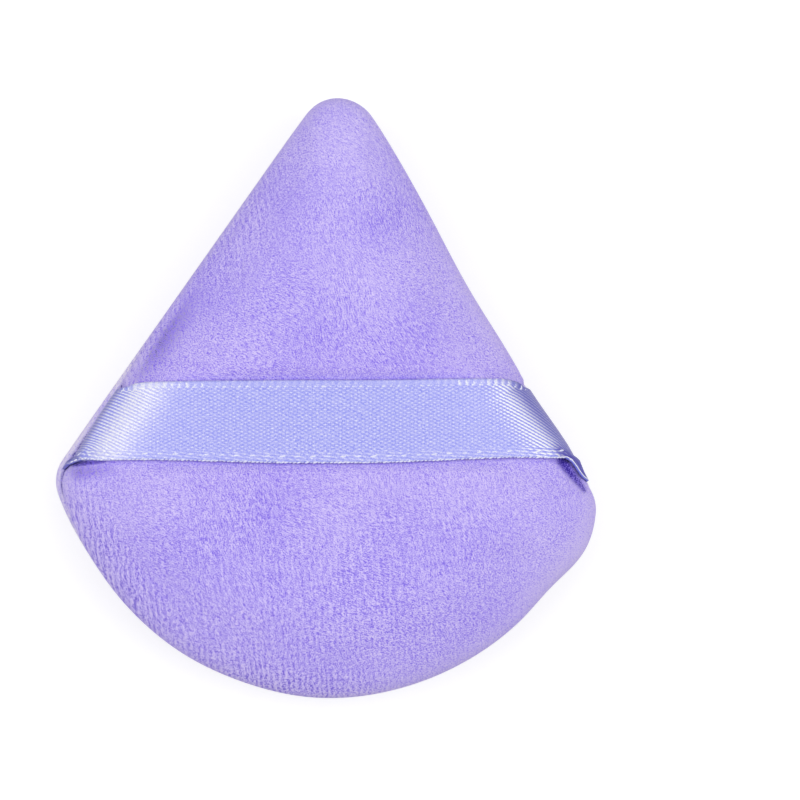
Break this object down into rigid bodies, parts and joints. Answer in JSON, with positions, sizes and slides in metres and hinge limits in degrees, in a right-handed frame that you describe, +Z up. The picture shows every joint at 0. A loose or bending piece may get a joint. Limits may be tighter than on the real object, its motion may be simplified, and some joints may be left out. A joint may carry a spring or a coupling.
{
  "type": "powder puff",
  "caption": "Fan-shaped powder puff: velour covers sewn over a foam pad, with a satin ribbon across the front that holds it on the fingers.",
  "frame": {"origin": "on the surface that the puff lies on, under the middle of its box", "axes": "+Z up out of the ribbon side, +Y towards the rounded tip, +X to the right seen from above"},
  "size_m": [0.067, 0.074, 0.015],
  "materials": {
    "velour": "short cut pile, matt with a soft sheen",
    "satin": "glossy satin weave with bound edges",
    "foam": "open-cell foam",
    "thread": "spun sewing thread"
  },
  "bodies": {
    "pad": {"front_velour": "velour", "back_velour": "velour", "foam_core": "foam", "ribbon_end_left": "satin", "ribbon_end_right": "satin", "seam_needle_thread": "thread", "seam_bobbin_thread": "thread", "closing_thread": "thread"},
    "strap": {"ribbon_strap": "satin"}
  },
  "joints": [
    {"name": "strap_lift", "type": "slide", "parent": "pad", "child": "strap", "axis": [0, 0, 1], "range_m": [0, 0.008]}
  ]
}
